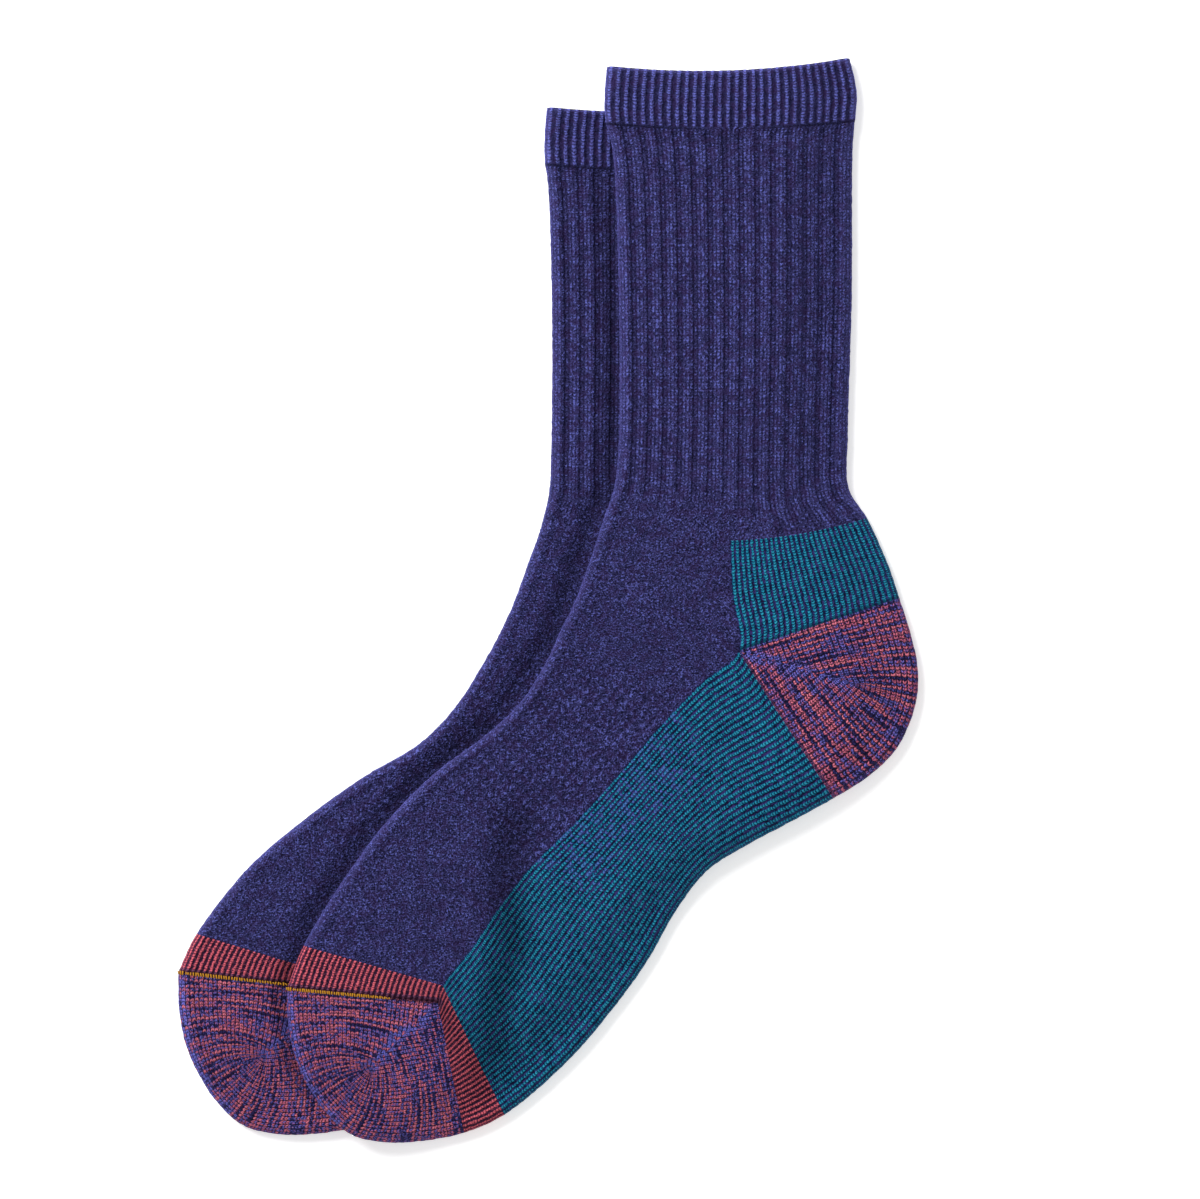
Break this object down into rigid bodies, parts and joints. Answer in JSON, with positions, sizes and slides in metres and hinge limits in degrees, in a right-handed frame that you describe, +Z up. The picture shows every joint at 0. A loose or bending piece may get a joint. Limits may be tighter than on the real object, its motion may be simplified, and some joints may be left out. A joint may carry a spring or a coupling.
{
  "type": "pair of pile socks",
  "caption": "Pair of heavy ribbed crew socks laid flat, one over the other and turned at the ankle, with reinforced heel, sole and toe pockets and open ribbed cuffs.",
  "frame": {"origin": "on the surface that the socks lie on, under the middle of the pair's outline", "axes": "+Z up from the surface, +Y towards the cuffs, +X towards the heels, with the toes towards -X"},
  "size_m": [0.2472, 0.3617, 0.0147],
  "materials": {
    "sock_knit": "heathered navy cotton and wool pile knit, soft and matt, with teal, coral and marled yarn changes",
    "linking_yarn": "ochre cotton linking yarn, matt"
  },
  "bodies": {
    "root": {"under_sock": "sock_knit", "upper_sock": "sock_knit"}
  },
  "joints": []
}
